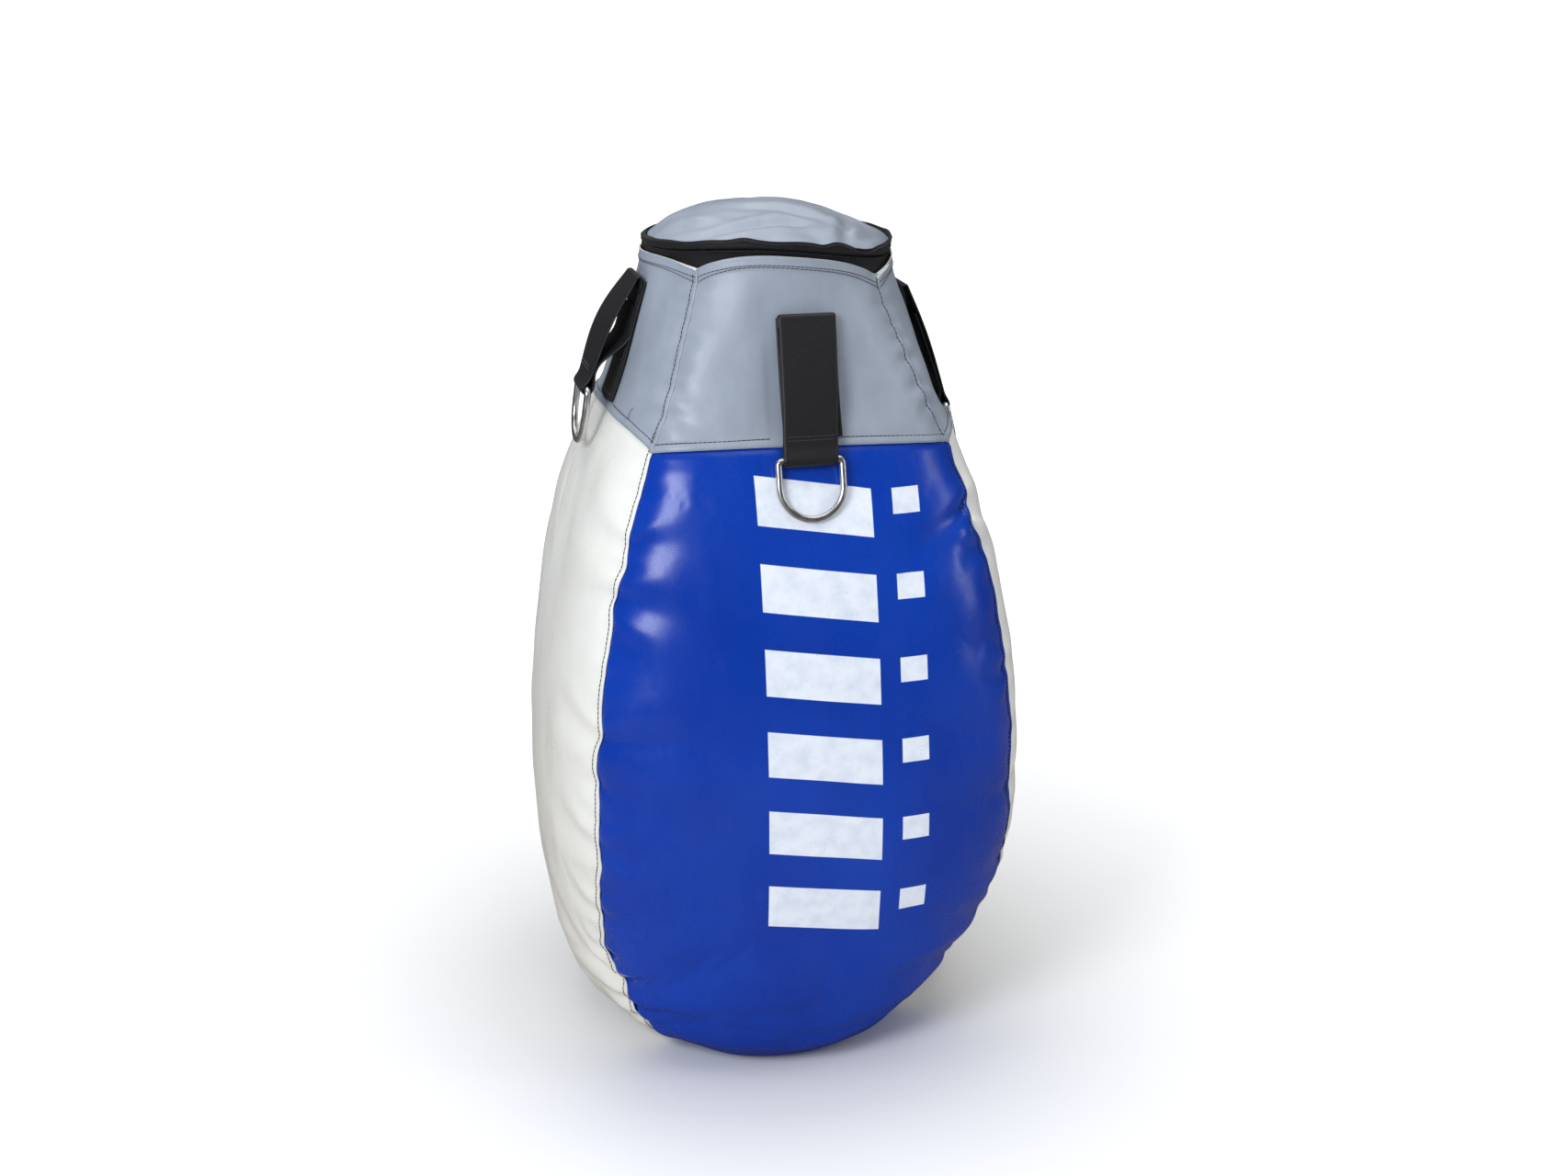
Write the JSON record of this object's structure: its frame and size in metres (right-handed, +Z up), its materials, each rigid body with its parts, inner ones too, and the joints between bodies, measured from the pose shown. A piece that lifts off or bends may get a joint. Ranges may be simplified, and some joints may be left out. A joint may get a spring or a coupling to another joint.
{
  "type": "heavy punching bag",
  "caption": "Teardrop heavy bag of four tapered coated-fabric panels with a grey yoke, zipped lid and strap-held D-rings for hanging.",
  "frame": {"origin": "centre of the flat base patch, where the bag stands", "axes": "+Z up along the bag's axis; the blue front panel faces -Y; +X is the right-hand side panel seen from the front"},
  "size_m": [0.422, 0.422, 0.748],
  "materials": {
    "blue_vinyl": "gloss coated fabric",
    "white_vinyl": "gloss coated fabric",
    "grey_vinyl": "satin coated fabric",
    "base_vinyl": "embossed coated fabric",
    "webbing": "ribbed polypropylene webbing",
    "zip_tape": "woven polyester tape",
    "zip_coil": "nylon coil",
    "zip_metal": "nickel plated",
    "ring_steel": "nickel plated, satin",
    "black_thread": "polyester thread",
    "grey_thread": "polyester thread",
    "foam": "closed-cell foam",
    "sack_cloth": "woven polypropylene",
    "cord": "twisted cotton",
    "fill": "packed textile offcuts",
    "backing": "woven reinforcement"
  },
  "bodies": {
    "bag": {"base_panel": "base_vinyl", "lower_zip_tape": "zip_tape", "lower_zip_coil": "zip_coil", "zip_end_stops": "zip_metal", "lower_hinge_band": "grey_vinyl", "body_seam_stitching": "black_thread", "yoke_seam_stitching": "grey_thread", "waist_stitching": "grey_thread", "neck_stitching": "black_thread", "foam_liner": "foam", "base_foam_disc": "foam", "fill_sack": "sack_cloth", "sack_cord": "cord", "textile_fill": "fill", "front_body_panel": "blue_vinyl", "front_yoke_panel": "grey_vinyl", "front_strap_base": "webbing", "front_strap_backing": "backing", "front_strap_stitching": "black_thread", "right_body_panel": "white_vinyl", "right_yoke_panel": "grey_vinyl", "right_strap_base": "webbing", "right_strap_backing": "backing", "right_strap_stitching": "black_thread", "back_body_panel": "white_vinyl", "back_yoke_panel": "grey_vinyl", "back_strap_base": "webbing", "back_strap_backing": "backing", "back_strap_stitching": "black_thread", "left_body_panel": "white_vinyl", "left_yoke_panel": "grey_vinyl", "left_strap_base": "webbing", "left_strap_backing": "backing", "left_strap_stitching": "black_thread"},
    "lid": {"lid_panel": "grey_vinyl", "upper_zip_tape": "zip_tape", "upper_zip_coil": "zip_coil", "upper_hinge_band": "grey_vinyl"},
    "slider": {"zip_slider": "zip_metal"},
    "pull": {"zip_pull": "zip_metal"},
    "front_tab": {"front_strap_tab": "webbing", "front_tab_stitching": "black_thread"},
    "front_ring": {"front_d_ring": "ring_steel"},
    "right_tab": {"right_strap_tab": "webbing", "right_tab_stitching": "black_thread"},
    "right_ring": {"right_d_ring": "ring_steel"},
    "back_tab": {"back_strap_tab": "webbing", "back_tab_stitching": "black_thread"},
    "back_ring": {"back_d_ring": "ring_steel"},
    "left_tab": {"left_strap_tab": "webbing", "left_tab_stitching": "black_thread"},
    "left_ring": {"left_d_ring": "ring_steel"}
  },
  "joints": [
    {"name": "lid_hinge", "type": "hinge", "parent": "bag", "child": "lid", "pos_m": [0, 0.1055, 0.709], "axis": [1, 0, 0], "range_deg": [-105, 0]},
    {"name": "slider_travel", "type": "hinge", "parent": "bag", "child": "slider", "pos_m": [0, 0, 0.709], "axis": [0, 0, 1], "range_deg": [-292, 0]},
    {"name": "pull_turn", "type": "hinge", "parent": "slider", "child": "pull", "pos_m": [0.06193, 0.09182, 0.709], "axis": [0, 0, 1], "range_deg": [0, 160]},
    {"name": "front_tab_lift", "type": "hinge", "parent": "bag", "child": "front_tab", "pos_m": [0, -0.12005, 0.666], "axis": [-1, 0, 0], "range_deg": [0, 165]},
    {"name": "front_ring_swing", "type": "hinge", "parent": "front_tab", "child": "front_ring", "pos_m": [0, -0.1595, 0.553], "axis": [-1, 0, 0], "range_deg": [0, 120]},
    {"name": "right_tab_lift", "type": "hinge", "parent": "bag", "child": "right_tab", "pos_m": [0.11932, 0, 0.669], "axis": [0, -1, 0], "range_deg": [0, 165]},
    {"name": "right_ring_swing", "type": "hinge", "parent": "right_tab", "child": "right_ring", "pos_m": [0.1585, 0, 0.56], "axis": [0, -1, 0], "range_deg": [0, 120]},
    {"name": "back_tab_lift", "type": "hinge", "parent": "bag", "child": "back_tab", "pos_m": [0, 0.11956, 0.668], "axis": [1, 0, 0], "range_deg": [0, 165]},
    {"name": "back_ring_swing", "type": "hinge", "parent": "back_tab", "child": "back_ring", "pos_m": [0, 0.159, 0.557], "axis": [1, 0, 0], "range_deg": [0, 120]},
    {"name": "left_tab_lift", "type": "hinge", "parent": "bag", "child": "left_tab", "pos_m": [-0.11585, 0, 0.685], "axis": [0, 1, 0], "range_deg": [0, 150]},
    {"name": "left_ring_swing", "type": "hinge", "parent": "left_tab", "child": "left_ring", "pos_m": [-0.1625, 0, 0.59], "axis": [0, 1, 0], "range_deg": [0, 120]}
  ]
}
